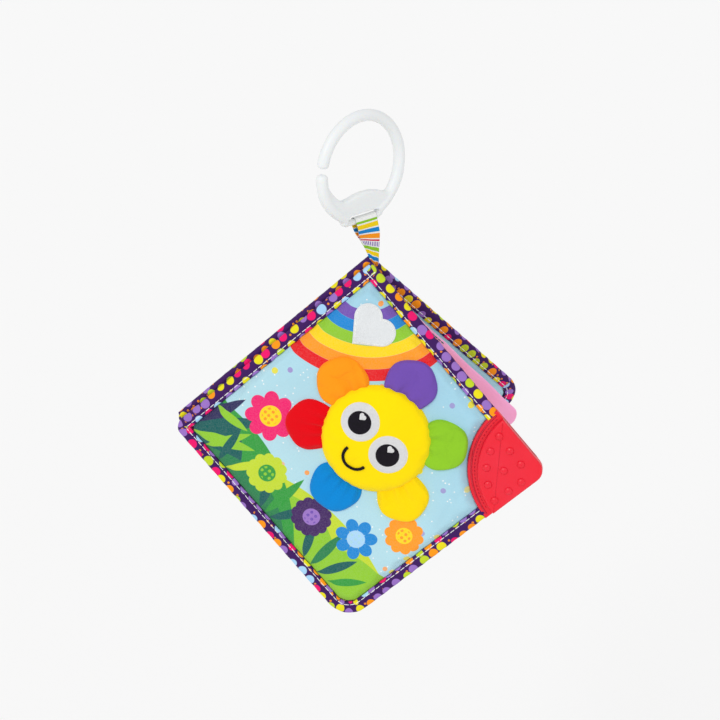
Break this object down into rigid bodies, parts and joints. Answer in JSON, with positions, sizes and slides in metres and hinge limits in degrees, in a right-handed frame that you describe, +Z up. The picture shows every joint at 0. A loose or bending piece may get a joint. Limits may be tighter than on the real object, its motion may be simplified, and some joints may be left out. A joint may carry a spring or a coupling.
{
  "type": "soft baby book",
  "caption": "Soft cloth book with padded covers, a flower applique, a rubber teether corner and a striped ribbon loop that hangs it from a clip ring.",
  "frame": {"origin": "inner top of the clip ring, where a peg or bar carries it", "axes": "+Z up, -Y towards the reader of the front cover, +X to the reader's right; the book hangs by the upper corner of its spine"},
  "size_m": [0.2167, 0.105, 0.3025],
  "materials": {
    "ring_plastic": "white moulded plastic, slightly glossy",
    "ribbon_cloth": "woven ribbon with plain stripes in many colours",
    "binding_cloth": "dark purple cotton binding with small dots of many colours",
    "page_satin": "pink satin",
    "sky_cloth": "light blue printed polyester cloth",
    "wadding": "white polyester wadding",
    "crinkle_film": "thin crinkly plastic film",
    "lining_cloth": "pale yellow cloth",
    "print_lime": "lime green printed field",
    "print_green": "green printed field",
    "red_cloth": "red plain cloth or print",
    "orange_cloth": "orange plain cloth or print",
    "yellow_cloth": "yellow plain cloth or print",
    "green_cloth": "green plain cloth or print",
    "blue_cloth": "blue plain cloth or print",
    "purple_cloth": "purple plain cloth or print",
    "head_velour": "bright yellow short-pile velour",
    "white_stitch": "white satin stitch",
    "black_stitch": "black satin stitch",
    "label_cloth": "white brushed cloth, blank",
    "teether_rubber": "red soft moulded rubber, satin",
    "back_cloth": "warm yellow plain cloth",
    "aqua_cloth": "aqua printed polyester cloth"
  },
  "bodies": {
    "ring": {"clip_ring": "ring_plastic"},
    "book_block": {"ribbon_loop": "ribbon_cloth", "spine_tape": "binding_cloth", "inner_page": "page_satin"},
    "front_cover": {"front_outer_panel": "sky_cloth", "front_wadding": "wadding", "front_crinkle_film": "crinkle_film", "front_lining": "lining_cloth", "front_binding": "binding_cloth", "print_far_hill": "print_lime", "print_near_hill": "print_green", "print_band_red": "red_cloth", "print_band_orange": "orange_cloth", "print_band_yellow": "yellow_cloth", "print_band_green": "green_cloth", "print_band_blue": "blue_cloth", "print_band_purple": "purple_cloth", "flower_head": "head_velour", "flower_filling": "wadding", "petal_orange": "orange_cloth", "petal_purple": "purple_cloth", "petal_green": "green_cloth", "petal_yellow": "yellow_cloth", "petal_blue": "blue_cloth", "petal_red": "red_cloth", "eye_white_left": "white_stitch", "eye_white_right": "white_stitch", "pupil_left": "black_stitch", "pupil_right": "black_stitch", "highlight_left": "white_stitch", "highlight_right": "white_stitch", "smile": "black_stitch", "label_patch": "label_cloth", "teether_corner": "teether_rubber"},
    "back_cover": {"back_outer_panel": "back_cloth", "back_wadding": "wadding", "back_crinkle_film": "crinkle_film", "back_inner_panel": "aqua_cloth", "back_binding": "binding_cloth"}
  },
  "joints": [
    {"name": "ribbon_swing", "type": "hinge", "parent": "ring", "child": "book_block", "pos_m": [0, 0, -0.0568], "axis": [0.7314, 0.682, 0], "range_deg": [-45, 45]},
    {"name": "front_cover_hinge", "type": "hinge", "parent": "book_block", "child": "front_cover", "pos_m": [0.0059, 0.0028, -0.0814], "axis": [-0.7513, 0, -0.66], "range_deg": [-24.5, 46], "deforming": ["spine_tape"]},
    {"name": "back_cover_hinge", "type": "hinge", "parent": "book_block", "child": "back_cover", "pos_m": [0.0059, 0.0028, -0.0814], "axis": [0.7513, 0, 0.66], "range_deg": [-7, 68], "deforming": ["spine_tape"]}
  ]
}
